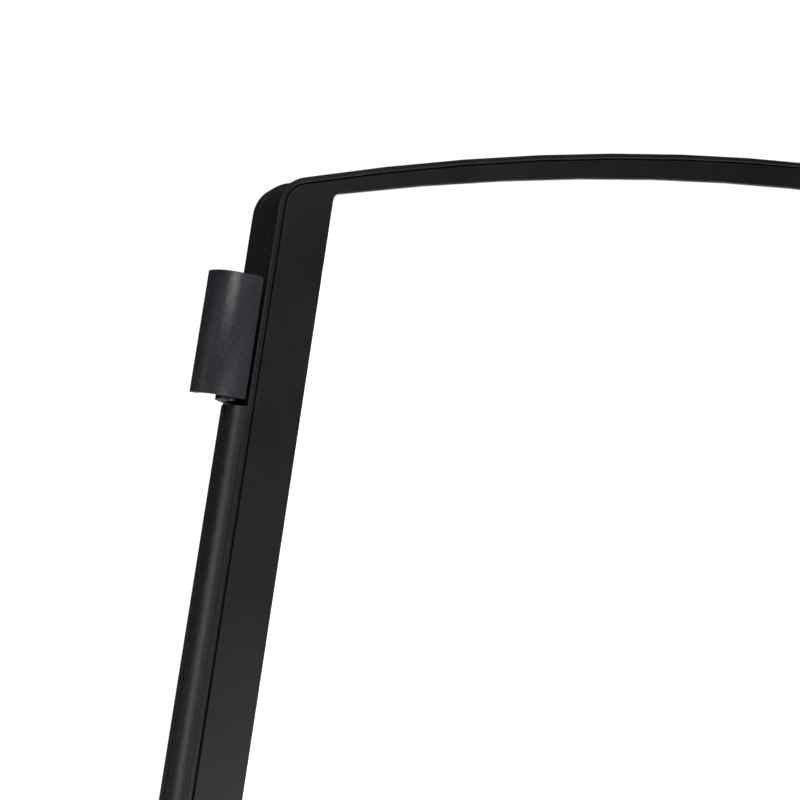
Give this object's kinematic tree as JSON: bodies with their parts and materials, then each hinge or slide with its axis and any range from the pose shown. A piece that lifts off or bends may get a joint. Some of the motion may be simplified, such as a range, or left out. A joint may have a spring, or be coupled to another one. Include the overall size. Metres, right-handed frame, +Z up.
{
  "type": "sign stand",
  "caption": "Upright double-sided sign stand with an arched top, a lift-off hinged front frame, quarter-turn latches, twin posts and flat feet.",
  "frame": {"origin": "on the floor, at the middle of the stand's overall width and depth", "axes": "+X to the stand's right seen from the front, +Y backwards, +Z up; the front face looks along -Y"},
  "size_m": [0.784, 0.48, 1.5],
  "materials": {
    "frame_black": "satin fine-grain powder coat",
    "post_black": "satin fine-grain powder coat",
    "rail_black": "satin powder coat on a drawn rail",
    "hinge_grey": "fine spark-eroded moulding grain",
    "bracket_black": "black powder coat with bare cut ends",
    "bare_steel": "ground and lightly oiled",
    "zinc_steel": "bright zinc plate",
    "screw_black": "black oxide",
    "bearing_bronze": "sintered bronze",
    "sign_white": "blank matt white sign board",
    "clear_sheet": "clear anti-glare sheet",
    "backing_grey": "foamed board",
    "spacer_rubber": "matt moulded rubber",
    "cap_black": "moulded plastic"
  },
  "bodies": {
    "stand": {"base_stretcher": "post_black", "bottom_bridge": "frame_black", "bracket_screws": "screw_black", "door_bumpers": "spacer_rubber", "foot_bolts": "zinc_steel", "foot_pads": "spacer_rubber", "hinge_washers": "bare_steel", "left_foot": "post_black", "left_foot_angles": "post_black", "left_post": "post_black", "left_rail": "rail_black", "lower_crossbar": "post_black", "lower_hinge_bracket": "screw_black", "lower_hinge_pin": "bare_steel", "lower_strike": "bare_steel", "middle_crossbar": "post_black", "post_bolts": "zinc_steel", "post_caps": "cap_black", "post_nuts": "zinc_steel", "rear_backing": "backing_grey", "rear_bezel": "frame_black", "rear_cover": "clear_sheet", "rear_frame": "frame_black", "rear_frame_screws": "screw_black", "rear_sign_panel": "sign_white", "rear_spacer": "spacer_rubber", "right_foot": "post_black", "right_foot_angles": "post_black", "right_post": "post_black", "right_rail": "rail_black", "strike_screws": "screw_black", "top_bridge": "frame_black", "upper_crossbar": "post_black", "upper_hinge_bracket": "screw_black", "upper_hinge_pin": "bare_steel", "upper_strike": "bare_steel"},
    "front_door": {"front_frame": "frame_black", "front_bezel": "frame_black", "front_spacer": "spacer_rubber", "front_cover": "clear_sheet", "front_sign_panel": "sign_white", "front_backing": "backing_grey", "upper_hinge_knuckle": "bracket_black", "lower_hinge_knuckle": "bracket_black", "upper_hinge_cover": "hinge_grey", "lower_hinge_cover": "hinge_grey", "hinge_bushes": "bearing_bronze", "knuckle_screws": "screw_black", "latch_bodies": "zinc_steel", "left_edge_strip": "rail_black", "right_edge_strip": "rail_black"},
    "upper_latch": {"upper_latch_knob": "screw_black", "upper_latch_cam": "bare_steel", "upper_latch_nut": "zinc_steel"},
    "lower_latch": {"lower_latch_knob": "screw_black", "lower_latch_cam": "bare_steel", "lower_latch_nut": "zinc_steel"}
  },
  "joints": [
    {"name": "door_swing", "type": "hinge", "parent": "stand", "child": "front_door", "pos_m": [-0.37815, -0.0055, 0.924], "axis": [0, 0, -1], "range_deg": [0, 95]},
    {"name": "upper_latch_turn", "type": "hinge", "parent": "front_door", "child": "upper_latch", "pos_m": [0.37475, -0.015, 1.174], "axis": [0, 1, 0], "range_deg": [0, 90]},
    {"name": "lower_latch_turn", "type": "hinge", "parent": "front_door", "child": "lower_latch", "pos_m": [0.37475, -0.015, 0.674], "axis": [0, 1, 0], "range_deg": [0, 90]}
  ]
}
